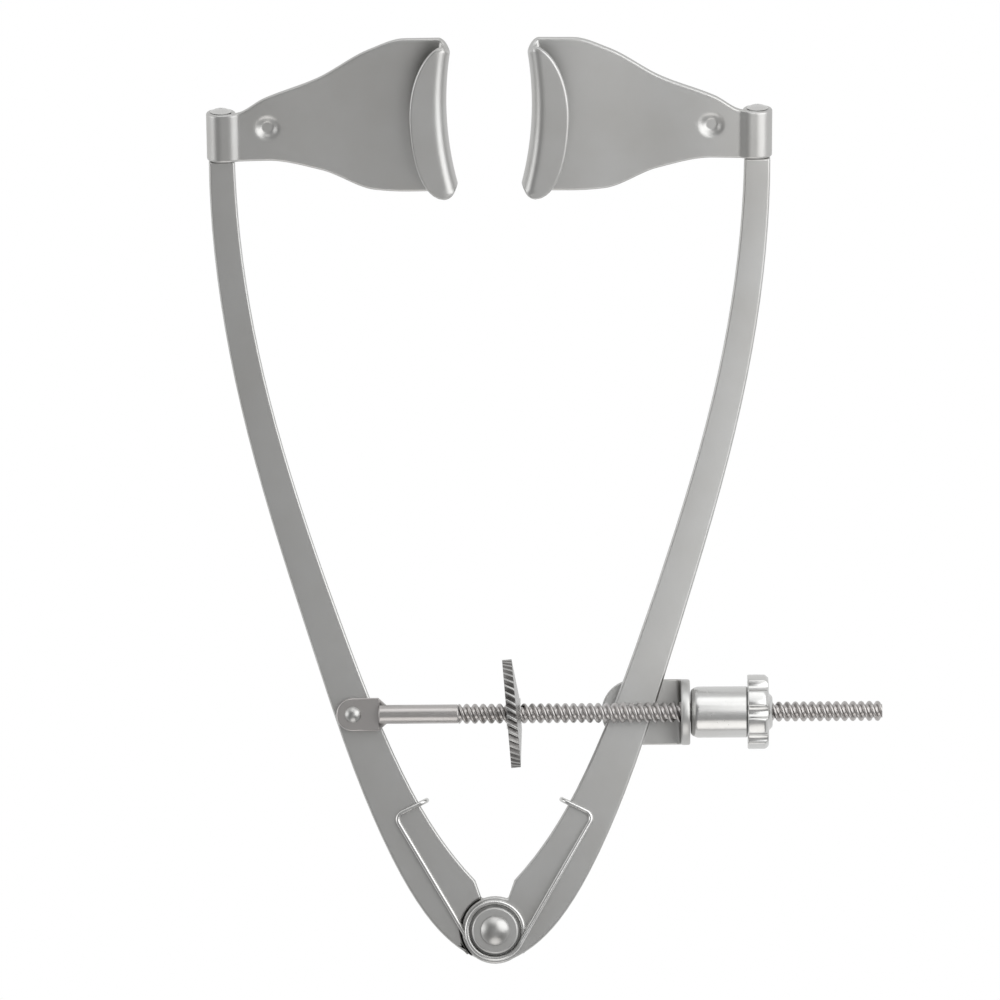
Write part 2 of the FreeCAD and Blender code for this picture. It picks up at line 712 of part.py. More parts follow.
def make_rod():
    """Flat eye, sloping neck, plain shank and the screw, along X from the rod rivet."""
    eye_low = ARM_TOP + " + face_gap"
    pad = cylinder("rod_eye", "eye_radius", "eye_thickness", z=eye_low)
    flat = box("rod_flat", "eye_length", "2 * eye_radius", "eye_thickness", y="-eye_radius", z=eye_low)
    shank = cylinder("rod_shank", "shank_radius", "thread_start - eye_length", turn=ALONG_X)
    move(shank, "eye_length", "0", ROD_AXIS)
    screw = cylinder("rod_screw", "rod_radius", "rod_length - thread_start", turn=ALONG_X)
    move(screw, "thread_start", "0", ROD_AXIS)
    neck = doc.addObject("Part::Feature", "rod_neck")
    low, high = size(eye_low), size(eye_low + " + eye_thickness")
    wide, start, end = size("eye_radius"), size("eye_length"), size("eye_length + neck_length")
    flat_end = Part.makePolygon(
        [Vector(start, y, z) for y, z in ((-wide, low), (wide, low), (wide, high), (-wide, high), (-wide, low))]
    )
    half = size("shank_radius") * 0.7
    axis = size(ROD_AXIS)
    corners = ((-half, axis - half), (half, axis - half), (half, axis + half), (-half, axis + half))
    shank_end = Part.makePolygon([Vector(end, y, z) for y, z in corners + corners[:1]])
    neck.Shape = Part.makeLoft([flat_end, shank_end], True, True)
    hole = cylinder("rod_eye_hole", "rivet_radius + running_gap", "4 * arm_thickness")
    rod = cut("adjusting_rod", joined("rod_blank", [pad, flat, neck, shank, screw]), hole)
    move(rod, "-link_offset", "link_height", "0")
    return rod


def make_rivet(label, side, low, seat, head_radius, head_height):
    """Rivet with a domed head and a shank that ends flush."""
    return turned(
        label,
        [
            ("0", low),
            ("rivet_radius", low),
            ("rivet_radius", seat),
            (head_radius, seat),
            ("0", f"{seat} + {head_height}", dome(head_radius, head_height)),
        ],
        x=("-" if side < 0 else "") + "link_offset",
        y="link_height",
    )


STRAP_TOP = "(base_washer_thickness - face_gap)"
STRAP_LOW = "(base_washer_thickness - face_gap - strap_thickness)"


def make_bracket():
    """Strap under the right arm, bent up into a flange that the screw passes through."""
    body = doc.addObject("PartDesign::Body", "bracket_strap")
    flange_top = ROD_AXIS + " + strap_half_width"
    inner = "(strap_reach - strap_thickness)"
    outline = [
        ("-strap_half_width", STRAP_LOW),
        ("strap_reach - strap_bend - strap_thickness", STRAP_LOW),
        ("strap_reach", STRAP_LOW + " + strap_bend + strap_thickness", "strap_bend + strap_thickness"),
        ("strap_reach", flange_top),
        (inner, flange_top),
        (inner, STRAP_TOP + " + strap_bend"),
        (inner + " - strap_bend", STRAP_TOP, "-strap_bend"),
        ("-strap_half_width", STRAP_TOP),
    ]
    pad = body.newObject("PartDesign::Pad", "bracket_pad")
    pad.Profile = add_sketch(body, "bracket_side", "XZ_Plane", outline)
    pad.Midplane = True
    bind(pad, "Length", "2 * strap_half_width")
    tall = "4 * strap_half_width"
    end = cylinder("bracket_round_end", "strap_half_width", tall, z="-strap_half_width")
    rest = box("bracket_rest", tall, "2 * strap_half_width", tall, y="-strap_half_width", z="-strap_half_width")
    plan = joined("bracket_plan", [end, rest])
    arch = cylinder("bracket_arch", "strap_half_width", tall, turn=ALONG_X)
    move(arch, "-strap_half_width", "0", ROD_AXIS)
    below = box("bracket_below", tall, "2 * strap_half_width", ROD_AXIS + " + strap_half_width")
    move(below, "-strap_half_width", "-strap_half_width", "-strap_half_width")
    face = joined("bracket_face", [arch, below])
    blank = shared("bracket_blank", [body, plan, face])
    rivet_hole = cylinder("bracket_rivet_hole", "rivet_radius + running_gap", tall, z="-strap_half_width")
    rod_hole = cylinder("bracket_rod_hole", "flange_hole_radius", "strap_reach", turn=ALONG_X)
    move(rod_hole, "strap_half_width", "0", ROD_AXIS)
    bracket = cut("swivel_bracket", blank, joined("bracket_holes", [rivet_hole, rod_hole]))
    move(bracket, "link_offset", "link_height", "0")
    return bracket


# Thrust sleeve, toothed nut and lock wheel, turned about the screw


NUT_PLACE = "(2 * link_offset + strap_reach + nut_gap)"
BORE = "(rod_radius + running_gap)"


def along_rod(body, place):
    """Lay a turned body on the screw, at a distance from the rod rivet."""
    body.Placement = FreeCAD.Placement(Vector(0, 0, 0), ALONG_X)
    move(body, f"{place} - link_offset", "link_height", ROD_AXIS)
    return body


def make_nut():
    sleeve = turned(
        "thrust_sleeve",
        [
            (BORE, "0"),
            ("sleeve_nose_radius", "0"),
            ("sleeve_radius", "sleeve_nose_length", "sleeve_nose_length * 1.2"),
            ("sleeve_radius", "sleeve_length"),
            ("spigot_radius + running_gap", "sleeve_length"),
            ("spigot_radius + running_gap", "sleeve_length - spigot_length - face_gap"),
            (BORE, "sleeve_length - spigot_length - face_gap"),
        ],
    )
    collar_end = "(sleeve_length + face_gap + collar_length)"
    nut = turned(
        "toothed_nut",
        [
            (BORE, "sleeve_length - spigot_length"),
            ("spigot_radius", "sleeve_length - spigot_length"),
            ("spigot_radius", "sleeve_length + face_gap"),
            ("collar_radius", "sleeve_length + face_gap"),
            ("collar_radius", collar_end + " - collar_bevel"),
            ("collar_radius - collar_bevel", collar_end),
            ("nut_cone_radius", collar_end),
            ("nut_cone_radius - nut_cone_length", collar_end + " + nut_cone_length"),
            (BORE, collar_end + " + nut_cone_length"),
        ],
    )
    doc.recompute()
    edge = "(collar_radius + flute_radius * 0.25)"
    notched(
        nut,
        "nut_flutes",
        [
            (edge, "flute_radius", "flute_radius * 1.0001"),
            (edge, "-flute_radius", "flute_radius * 1.0001"),
        ],
        "tooth_count",
    )
    return [along_rod(sleeve, NUT_PLACE), along_rod(nut, NUT_PLACE)]


def make_wheel():
    bush = turned(
        "wheel_bush",
        [
            (BORE, "0"),
            ("wheel_bush_radius", "0"),
            ("wheel_bush_radius", "wheel_middle"),
            (BORE, "wheel_middle"),
        ],
    )
    wheel = turned(
        "lock_wheel",
        [
            ("wheel_bush_radius + running_gap", "0"),
            ("wheel_radius", "0"),
            ("wheel_radius", "wheel_rim"),
            ("wheel_bush_radius + running_gap", "wheel_middle"),
        ],
    )
    doc.recompute()
    notched(
        wheel,
        "wheel_knurl",
        [
            ("wheel_radius - knurl_depth", "0"),
            ("wheel_radius + knurl_depth", "-2 * knurl_depth"),
            ("wheel_radius + knurl_depth", "2 * knurl_depth"),
        ],
        "knurl_count",
    )
    return [along_rod(bush, "wheel_place"), along_rod(wheel, "wheel_place")]


# The whole instrument


parts = []
for name_side, side in (("left", -1), ("right", 1)):
    parts.append(make_arm(name_side + "_arm", side))
    parts.append(make_blade(name_side + "_blade", side))
    parts.append(make_swivel_pin(name_side + "_swivel_pin", side))
parts += make_pivot()
parts.append(make_spring())
parts.append(make_rod())
parts.append(
    make_rivet(
        "rod_rivet",
        -1,
        "base_washer_thickness",
        ARM_TOP + " + 2 * face_gap + eye_thickness",
        "rivet_head_radius",
        "rivet_head_height",
    )
)
parts.append(make_bracket())
parts.append(make_rivet("bracket_rivet", 1, STRAP_LOW, ARM_TOP, "bracket_head_radius", "bracket_head_height"))
parts += make_nut()
parts += make_wheel()
doc.recompute()

for item in doc.Objects:
    if "Invalid" in item.State or "Error" in item.State:
        raise RuntimeError(f"{item.Label} did not compute: {item.State}")
for part in parts:
    if part.Shape.isNull() or not part.Shape.isValid():
        raise RuntimeError(f"{part.Label} has no valid shape")

os.makedirs("parts", exist_ok=True)
for part in parts:
    part.Shape.exportStep(f"parts/{part.Label}.step")
    print(part.Label, len(part.Shape.Solids), round(part.Shape.Volume, 3))
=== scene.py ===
# %% [markdown]
# # A lid speculum in satin steel
# The instrument holds an eye open: two bowed arms meet at a sprung pivot, each carries a folded
# blade on a swivel pin, and a screw across the arms sets how far they stand apart. Its solids come
# from the CAD model, already at their real size. This lesson rounds their edges, folds the blades
# from one sheet each, cuts the screw's thread, gives each part its finish and sets up the light and
# the camera.

import json
import math

import bpy
from mathutils import Matrix, Vector

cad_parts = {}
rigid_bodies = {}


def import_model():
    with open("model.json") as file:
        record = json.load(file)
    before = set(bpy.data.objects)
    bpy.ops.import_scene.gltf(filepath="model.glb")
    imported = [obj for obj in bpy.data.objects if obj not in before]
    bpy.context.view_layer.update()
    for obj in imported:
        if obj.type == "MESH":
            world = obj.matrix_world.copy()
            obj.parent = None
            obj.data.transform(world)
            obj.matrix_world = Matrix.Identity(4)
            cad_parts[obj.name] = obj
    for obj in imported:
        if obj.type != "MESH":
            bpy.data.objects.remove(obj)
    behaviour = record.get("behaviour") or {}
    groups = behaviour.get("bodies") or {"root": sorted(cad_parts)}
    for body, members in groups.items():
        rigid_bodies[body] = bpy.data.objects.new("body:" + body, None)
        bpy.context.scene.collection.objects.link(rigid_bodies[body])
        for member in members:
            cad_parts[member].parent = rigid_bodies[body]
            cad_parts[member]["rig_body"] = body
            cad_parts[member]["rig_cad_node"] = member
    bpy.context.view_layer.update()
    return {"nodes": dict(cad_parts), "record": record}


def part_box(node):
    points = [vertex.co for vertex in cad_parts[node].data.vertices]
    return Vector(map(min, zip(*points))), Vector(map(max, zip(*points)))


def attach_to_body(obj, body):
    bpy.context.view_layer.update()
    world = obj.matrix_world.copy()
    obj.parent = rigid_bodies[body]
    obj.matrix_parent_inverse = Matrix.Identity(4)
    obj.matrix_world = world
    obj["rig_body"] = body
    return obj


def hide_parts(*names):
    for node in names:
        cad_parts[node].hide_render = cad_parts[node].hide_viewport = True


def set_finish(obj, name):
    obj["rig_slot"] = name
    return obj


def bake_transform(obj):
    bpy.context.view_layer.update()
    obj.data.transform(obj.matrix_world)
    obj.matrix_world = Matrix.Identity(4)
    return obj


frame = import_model()
scene = bpy.context.scene
bodies = frame["record"]["behaviour"]["bodies"]
body_of_node = {node: body for body, nodes in bodies.items() for node in nodes}
MM = 0.001
print("nodes:", len(frame["nodes"]), "bodies:", len(bodies))

# %% [markdown]
# ## Satin steel
# The arms and blades are bead blasted stainless steel: a grey metal with no streaks, whose
# reflection is spread into a soft sheen. A metal in Blender is a Principled shader with Metallic at
# 1, so its colour is the colour of its reflection. The blasted grain is far finer than a pixel, so
# it is mostly roughness, and a small noise in the bump and in the roughness keeps the surface from
# looking like plastic. A second noise, some millimetres across, shifts the tint a little between
# warm and cool. A picture of steel could be wrapped round the parts instead, but a noise in their
# own space has no seams.

# %% A steel with its own grain
cloud_size = 7 * MM
cloud_warm = (0.90, 0.885, 0.87)
cloud_cool = (1.08, 1.09, 1.11)
gloss_spread = 0.06
bump_strength = 0.5


def add_noise(nodes, links, place, size, detail):
    """A noise texture in the object's own space, at a size in metres."""
    noise = nodes.new("ShaderNodeTexNoise")
    noise.inputs["Scale"].default_value = 1 / size
    noise.inputs["Detail"].default_value = detail
    links.new(place.outputs["Object"], noise.inputs["Vector"])
    return noise


def make_steel(name, colour, roughness, grain, depth):
    """Steel whose roughness and bump come from one fine noise: its grain and depth are in millimetres."""
    steel = bpy.data.materials.new(name)
    steel.use_nodes = True
    nodes, links = steel.node_tree.nodes, steel.node_tree.links
    shader = nodes["Principled BSDF"]
    shader.inputs["Metallic"].default_value = 1.0
    place = nodes.new("ShaderNodeTexCoord")
    noise = add_noise(nodes, links, place, grain * MM, 3.0)
    cloud = add_noise(nodes, links, place, cloud_size, 4.0)
    tint = nodes.new("ShaderNodeMix")
    tint.data_type = "RGBA"
    for socket, shift in (("A", cloud_warm), ("B", cloud_cool)):
        tint.inputs[socket].default_value = [share * change for share, change in zip(colour, shift)] + [1]
    links.new(cloud.outputs["Fac"], tint.inputs["Factor"])
    links.new(tint.outputs["Result"], shader.inputs["Base Color"])
    gloss = nodes.new("ShaderNodeMapRange")
    gloss.inputs["To Min"].default_value = roughness - gloss_spread
    gloss.inputs["To Max"].default_value = roughness + gloss_spread
    links.new(noise.outputs["Fac"], gloss.inputs["Value"])
    links.new(gloss.outputs["Result"], shader.inputs["Roughness"])
    bump = nodes.new("ShaderNodeBump")
    bump.inputs["Strength"].default_value = bump_strength
    bump.inputs["Distance"].default_value = depth * MM
    links.new(noise.outputs["Fac"], bump.inputs["Height"])
    links.new(bump.outputs["Normal"], shader.inputs["Normal"])
    return steel


# %% Blasted, polished and drawn
finishes = {
    "satin_steel": make_steel("satin_steel", (0.47, 0.47, 0.46), 0.38, 0.22, 0.005),
    "bright_steel": make_steel("bright_steel", (0.56, 0.56, 0.55), 0.25, 0.50, 0.0008),
    "spring_wire": make_steel("spring_wire", (0.60, 0.60, 0.59), 0.24, 0.50, 0.0008),
}
slot_of_node = {part["node"]: part["material_slot"] for part in frame["record"]["subparts"]}
print("finishes:", sorted(finishes))

# %% [markdown]
# ## Parts with a finish of their own
# The heads of the screw and of the rivets are rubbed to a duller sheen, and a darker colour paints in the
# dark reflection they show. The rod has the grey of the lathe, and the lock wheel is duller still, with
# painted shade in the notches of its knurl. Each could be a material built by hand. They are the same steel
# with a darker colour and another roughness, so each is one more call of the same function, and a table says
# which part has which.

# %% Rubbed, turned and knurled, with a painted reflection on the heads and painted shade in the notches
# The heads' rougher sheen is their own, and their darker colour is a painted reflection of the dark tent
# overhead.
rubbed_painted_reflection = make_steel("rubbed_painted_reflection_steel", (0.42, 0.42, 0.41), 0.33, 0.40, 0.0015)
turned = make_steel("turned_steel", (0.43, 0.415, 0.405), 0.32, 0.40, 0.0010)
knurled = make_steel("knurled_steel", (0.40, 0.40, 0.39), 0.36, 0.30, 0.0030)
# Near-black steel for the bottoms of the knurl's notches: painted shade.
notch_shade = make_steel("notch_painted_shade", (0.17, 0.165, 0.16), 0.45, 0.30, 0.0030)
special_finish = {
    "pivot_screw": rubbed_painted_reflection,
    "rod_rivet": rubbed_painted_reflection,
    "bracket_rivet": rubbed_painted_reflection,
    "adjusting_rod": turned,
    "lock_wheel": knurled,
}
print("parts with a finish of their own:", sorted(special_finish))

# %% [markdown]
# ## Helpers for the workbench
# An operator works on whatever is selected, and the loaded solids start out selected. So each step
# begins with nothing selected, and edges or faces are then picked by where they are. A new piece
# takes over from a solid: it gets the solid's finish and moves with the same body.

# %% Select, finish and attach


def only(piece):
    """Make one object the selected and active one."""
    bpy.ops.object.select_all(action="DESELECT")
    piece.select_set(True)
    bpy.context.view_layer.objects.active = piece


def edit_all():
    """Enter edit mode with the whole mesh selected."""
    bpy.ops.object.mode_set(mode="EDIT")
    bpy.ops.mesh.select_all(action="SELECT")


def dress(piece, node):
    """Give a piece the finish and the material slot of a node."""
    slot = slot_of_node[node]
    piece.data.materials.clear()
    piece.data.materials.append(special_finish.get(node, finishes[slot]))
    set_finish(piece, slot)


def attach(piece, node):
    """A piece stands in for a node: it takes its finish and moves with its body."""
    dress(piece, node)
    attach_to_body(piece, body_of_node[node])
    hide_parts(node)


for name, solid in frame["nodes"].items():
    dress(solid, name)
print("dressed", len(frame["nodes"]), "solids")

# %% [markdown]
# ## Broken edges
# No edge of a surgical instrument is sharp: the arms and the small parts are tumbled until each
# edge is a small round that catches the light. The CAD model could have these rounds, edge by edge.
# It is quicker here, because the Bevel modifier finds every edge that is sharper than a set angle.
# A CAD solid arrives as loose triangles, so a copy of it is merged and its flat faces are dissolved
# back into whole faces first. That keeps the CAD's shape and adds only the round.

# %% Copy a solid as whole faces
merge_gap = 0.001 * MM
flat_within = math.radians(0.6)


def merged_copy(node, name):
    """A copy of a CAD node with its points merged and its flat faces whole again."""
    only(frame["nodes"][node])
    bpy.ops.object.duplicate()
    piece = bpy.context.view_layer.objects.active
    piece.name = name
    piece.parent = None
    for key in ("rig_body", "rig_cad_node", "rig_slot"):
        if key in piece:
            del piece[key]
    edit_all()
    bpy.ops.mesh.remove_doubles(threshold=merge_gap)
    bpy.ops.mesh.dissolve_limited(angle_limit=flat_within)
    bpy.ops.object.mode_set(mode="OBJECT")
    return piece


# %% Round its edges
sharp_edge = math.radians(38)
smooth_within = math.radians(35)


def shade_rounds(piece, angle):
    """Shade smooth up to an angle, and keep the flat faces flat between their rounds."""
    bpy.ops.object.shade_smooth_by_angle(angle=angle)
    level = piece.modifiers.new("level", "WEIGHTED_NORMAL")
    level.keep_sharp = True
    bpy.ops.object.modifier_apply(modifier=level.name)


def rounded(node, width, steps=3, piece=None):
    """The node again, with its sharp edges rounded to a width in millimetres."""
    piece = piece or merged_copy(node, "rounded_" + node)
    bevel = piece.modifiers.new("edge", "BEVEL")
    bevel.width = width * MM
    bevel.segments = steps
    bevel.limit_method = "ANGLE"
    bevel.angle_limit = sharp_edge
    bevel.use_clamp_overlap = False
    bpy.ops.object.modifier_apply(modifier=bevel.name)
    shade_rounds(piece, smooth_within)
    attach(piece, node)
    print(piece.name, "faces", len(piece.data.polygons))


edge_width = {
    "left_arm": 0.24,
    "right_arm": 0.24,
    "swivel_bracket": 0.18,
    "thrust_sleeve": 0.14,
    "toothed_nut": 0.14,
    "pivot_base_washer": 0.06,
    "pivot_cap_washer": 0.06,
    "spring_bush": 0.05,
    "pivot_screw": 0.08,
    "rod_rivet": 0.05,
    "bracket_rivet": 0.05,
    "left_swivel_pin": 0.05,
    "right_swivel_pin": 0.05,
    "wheel_bush": 0.05,
}
for node, width in edge_width.items():
    rounded(node, width)

# %% [markdown]
# ## The lid blades
# Each blade is one piece of sheet. One end is rolled round the swivel pin, the plate widens from
# there to the height of the lid, and the far end is folded back over it as the lip that holds the
# lid. So it is modelled as the smith makes it: a flat grid is laid, and every point of it is moved
# to its place on the rolled and folded sheet by its distance along and across. Solidify then gives
# the sheet its thickness, and Bevel rounds the whole rim, which a copy of the solid doesn't allow,
# because the short edges at the ends of its fold make spikes.

# %% Sizes of a blade, in millimetres
# Its edges are given by distances from the middle of the pin: along the sheet, then along the pin.
sheet_thickness = 0.60
roll_radius = 1.175
roll_end = math.radians(300)
half_knuckle = 2.45
blade_low, blade_high = -5.85, 9.95
upper_edge = [(0, 2.45), (1.57, 2.57), (4.27, 4.0), (9.66, 6.0), (14.83, 8.85), (18.43, 9.95), (24, 9.95)]
lower_edge = [(0, -2.45), (4.49, -2.4), (9.89, -3.5), (15.28, -5.65), (18.43, -5.85), (24, -5.85)]
print("blade height", blade_high - blade_low)

# %% Sizes of its fold and lip
# The crest of the fold is an arc about a point just beyond the other blade's pin. The bend stands
# out by its depth, rises by the plate's step and twice its height, and its mean radius turns a
# length into an angle. The lip's edge is a bow that would close just past the blade, so that its
# ends keep some sheet.
fold_axis = (55.97, 3.4)
fold_depth, fold_height, fold_bend = 0.95, 1.35, 1.15
crest_radius = 33.80
fold_radius = crest_radius + fold_depth
lip_reach = 3.45
lip_ends = {"upper": 2.0, "lower": 3.2}
lip_bow = 0.985
corner_cut = 0.75
print("fold starts on a radius of", fold_radius, "mm")

# %% Sizes of what is pressed into the plate
step_down = 0.28
step_start, step_length = 0.7, 1.1
dish_start, dish_length, dish_depth = 3, 18, 0.15
dimple_place = (4.60, 1.02)
dimple_rim, dimple_floor, dimple_depth = 1.35, 0.55, 0.34
print("dimple", 2 * dimple_rim, "mm wide")

# %% Steps of the grid
rows_across = 44
rim_step = 0.30
roll_steps, run_steps, fold_steps = 20, 8, 28
fine_step, coarse_step, fine_until, run_start = 0.15, 0.4, 6.0, 18


def share_across(row, width):
    """Share across the sheet for a row of the grid: the first and last steps leave room for the rim."""
    if row in (0, rows_across):
        return row / rows_across
    margin = rim_step / width
    return margin + (1 - 2 * margin) * (row - 1) / (rows_across - 2)


print("rows", rows_across + 1)

# %% The plate


def between(points, x):
    """Height at x of a smooth line through some points, without overshoot."""
    slopes = [(b[1] - a[1]) / (b[0] - a[0]) for a, b in zip(points, points[1:])]
    ends = [slopes[0]]
    for before, after in zip(slopes, slopes[1:]):
        ends.append(2 * before * after / (before + after) if before * after > 0 else 0)
    ends.append(slopes[-1])
    k = max(i for i in range(len(slopes)) if i == 0 or points[i][0] <= x)
    step = points[k + 1][0] - points[k][0]
    t = min(max((x - points[k][0]) / step, 0), 1)
    rise = points[k][1] * (2 * t**3 - 3 * t**2 + 1) + points[k + 1][1] * (3 * t**2 - 2 * t**3)
    return rise + step * (ends[k] * (t**3 - 2 * t**2 + t) + ends[k + 1] * (t**3 - t**2))


def eased(share):
    """A share held between 0 and 1, with a soft start and end."""
    share = min(max(share, 0), 1)
    return share * share * (3 - 2 * share)


def plate_height(x, y):
    """Middle of the sheet over the pin: a step off the roll, a shallow dish and the pressed dimple."""
    away = math.dist((x, y), dimple_place)
    pressed = dimple_depth * eased((dimple_rim - away) / (dimple_rim - dimple_floor))
    dished = dish_depth * math.sin(math.pi * min(max((x - dish_start) / dish_length, 0), 1)) ** 2
    return roll_radius - step_down * eased((x - step_start) / step_length) - pressed - dished


def plate_point(x, row):
    """On the plate, between its flared edges."""
    low, top = between(lower_edge, x), between(upper_edge, x)
    y = low + (top - low) * share_across(row, top - low)
    return Vector((x, y, plate_height(x, y)))


print("floor of the dimple at", round(plate_height(*dimple_place), 2), "mm over the pin")

# %% The roll and the fold


def roll_point(along, row):
    """On the roll, from the plate back round the pin."""
    turn = roll_end * along
    share = 2 * share_across(row, 2 * half_knuckle) - 1
    return Vector((-roll_radius * math.sin(turn), half_knuckle * share, roll_radius * math.cos(turn)))


def fold_swing(across, cut):
    """Swing about the fold's axis of a share across the blade, whose corners are cut off."""
    high = blade_low + cut + across * (blade_high - blade_low - 2 * cut)
    return math.asin((high - fold_axis[1]) / fold_radius)


def run_point(along, row):
    """On the run from the plate to the curved line where the fold starts."""
    swing = fold_swing(share_across(row, blade_high - blade_low), 0)
    start = fold_axis[0] - fold_radius * math.cos(swing)
    return plate_point(run_start + (start - run_start) * along, row)


def lip_lengths(across):
    """Lengths of the bent and of the straight sheet of the lip, whose edge is a long rounded bow."""
    share = 2 * across - 1
    end = lip_ends["upper" if share > 0 else "lower"]
    reach = lip_reach * (1 - abs(lip_bow * share) ** end) ** (1 / end)
    last = math.acos(1 - min(reach, fold_depth) / fold_depth)
    return fold_bend * (math.pi / 2 + last), max(reach - fold_depth, 0)


def fold_point(along, row):
    """Round the fold and out along the lip: the last step leaves room for the rim."""
    across = share_across(row, blade_high - blade_low)
    bent, straight = lip_lengths(across)
    travelled = bent + straight
    if along < 1:
        travelled = min((travelled - rim_step) * along * fold_steps / (fold_steps - 1), travelled)
    angle = min(travelled, bent) / fold_bend - math.pi / 2
    swing = fold_swing(across, corner_cut * math.cos(angle) ** 2)
    radius = fold_radius - fold_depth * math.cos(angle) + max(travelled - bent, 0)
    height = roll_radius - step_down + (2 * fold_height + step_down) * (1 + math.sin(angle)) / 2
    return Vector((fold_axis[0] - radius * math.cos(swing), fold_axis[1] + radius * math.sin(swing), height))


print("fold and lip", round(sum(lip_lengths(0.5)), 2), "mm of sheet in the middle")

# %% Stations along the sheet


def sheet_stations():
    """Steps along the sheet: the function of its stretch, and how far along that stretch."""
    stations = [(roll_point, 1 - k / roll_steps) for k in range(roll_steps)]
    x = 0.0
    while x < run_start:
        stations.append((plate_point, x))
        x += fine_step if x < fine_until else coarse_step
    stations += [(run_point, k / run_steps) for k in range(run_steps)]
    stations += [(fold_point, k / fold_steps) for k in range(fold_steps + 1)]
    return stations


print("stations", len(sheet_stations()))

# %% Lay the grid and shape it
joint_of = {joint["name"]: joint for joint in frame["record"]["behaviour"]["joints"]}


def swivel_frame(side):
    """Matrix of a blade's own axes: its Y is the swivel pin."""
    joint = joint_of["left_blade_swivel" if side < 0 else "right_blade_swivel"]
    pin = Vector(joint["axis"]) * side
    sideways = pin.cross(Vector((0, 0, 1))).normalized()
    upward = sideways.cross(pin)
    place = Matrix((sideways, pin, upward)).transposed().to_4x4()
    return Matrix.Translation(Vector(joint["pos_m"])) @ place


def lay_sheet(name, side):
    """A grid with every point moved to its place on the rolled and folded sheet."""
    stations = sheet_stations()
    bpy.ops.object.select_all(action="DESELECT")
    bpy.ops.mesh.primitive_grid_add(x_subdivisions=len(stations) - 1, y_subdivisions=rows_across, size=1)
    piece = bpy.context.view_layer.objects.active
    piece.name = name
    place = swivel_frame(side)
    for point in piece.data.vertices:
        on_stretch, along = stations[round((point.co.x + 0.5) * (len(stations) - 1))]
        spot = on_stretch(along, round((point.co.y + 0.5) * rows_across))
        spot.x *= -side
        point.co = place @ (spot * MM)
    edit_all()
    bpy.ops.mesh.normals_make_consistent(inside=False)
    bpy.ops.object.mode_set(mode="OBJECT")
    return piece


# %% Thicken it and round its rim
rim_round = 0.22
rim_sharp = math.radians(50)
sheet_smooth = math.radians(40)


def fold_blade(name, node, side):
    """One finished blade, on the left with side -1 and on the right with side 1."""
    piece = lay_sheet(name, side)
    wall = piece.modifiers.new("sheet", "SOLIDIFY")
    wall.thickness = sheet_thickness * MM
    wall.offset = 0
    bpy.ops.object.modifier_apply(modifier=wall.name)
    rim = piece.modifiers.new("rim", "BEVEL")
    rim.width = rim_round * MM
    rim.segments = 4
    rim.limit_method = "ANGLE"
    rim.angle_limit = rim_sharp
    rim.use_clamp_overlap = False
    bpy.ops.object.modifier_apply(modifier=rim.name)
    bpy.ops.object.shade_smooth_by_angle(angle=sheet_smooth)
    attach(piece, node)
    print(name, "faces", len(piece.data.polygons))


fold_blade("folded_left_blade", "left_blade", -1)
fold_blade("folded_right_blade", "right_blade", 1)

# %% [markdown]
# ## The knurled lock wheel
# The wheel's rim is knurled with slanting notches, so that a wet finger can turn it. It could be built from
# one notch, copied round. The CAD solid has the notches already, straight across the rim, so only their
# slant is made: the points of the rim's flat side are turned a few degrees one way about the screw's axis,
# and those of its conical side the other way. The wheel runs loosely on its thread, so it leans a few
# degrees. The bottoms of its notches get a near-black steel, which paints in the shade inside them.

# %% Slant the knurl
# The root is a radius a little under the bottoms of the notches.
wheel_low, wheel_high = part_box("lock_wheel")
wheel_centre = (wheel_low + wheel_high) / 2
rim_width = 0.95 * MM
side_depth = 0.2 * MM
knurl_root = (wheel_high.y - wheel_low.y) / 2 - 0.45 * MM
knurl_slant = math.radians(3.2)
wheel = merged_copy("lock_wheel", "knurled_wheel")
for side_x, turn_sign in ((wheel_low.x, 1), (wheel_low.x + rim_width, -1)):
    only(wheel)
    bpy.ops.object.mode_set(mode="EDIT")
    bpy.ops.mesh.select_all(action="DESELECT")
    bpy.ops.object.mode_set(mode="OBJECT")
    for point in wheel.data.vertices:
        out = Vector((0, point.co.y - wheel_centre.y, point.co.z - wheel_centre.z)).length
        point.select = abs(point.co.x - side_x) < side_depth and out > knurl_root
    bpy.ops.object.mode_set(mode="EDIT")
    bpy.ops.transform.rotate(value=turn_sign * knurl_slant, orient_axis="X", center_override=wheel_centre)
    bpy.ops.object.mode_set(mode="OBJECT")
print("knurl slanted by", round(math.degrees(knurl_slant), 1), "degrees each way")

# %% Lean the wheel
wheel_lean = math.radians(4.5)
wheel_edge = 0.04
only(wheel)
edit_all()
bpy.ops.transform.rotate(value=-wheel_lean, orient_axis="Z", center_override=wheel_centre)
bpy.ops.object.mode_set(mode="OBJECT")
rounded("lock_wheel", wheel_edge, steps=2, piece=wheel)

# %% Paint shade into the notches
# Faces between these two heights over the root take the near-black steel: painted shade in the notches.
painted_shade_low, painted_shade_high = 0.05 * MM, 0.30 * MM
wheel.data.materials.append(notch_shade)
leaning_axis = Vector((math.cos(wheel_lean), math.sin(wheel_lean), 0))
for face in wheel.data.polygons:
    spoke = face.center - wheel_centre
    out = (spoke - leaning_axis * spoke.dot(leaning_axis)).length
    if knurl_root + painted_shade_low < out < knurl_root + painted_shade_high:
        face.material_index = 1
print("dark faces", sum(face.material_index for face in wheel.data.polygons))

# %% [markdown]
# ## The adjusting screw
# The rod is a screw from just past its plain shank to its end. Its thread is coarse, with two
# starts, so one turn moves the nut two threads along. A bump in the material could suggest it, but
# its teeth show against the white ground. A thread is a helix, and Blender's Screw modifier draws
# one from a profile: here two teeth long, turned once about the rod's axis while it travels one
# lead, and repeated. The ends are then cut square with Bisect and filled.

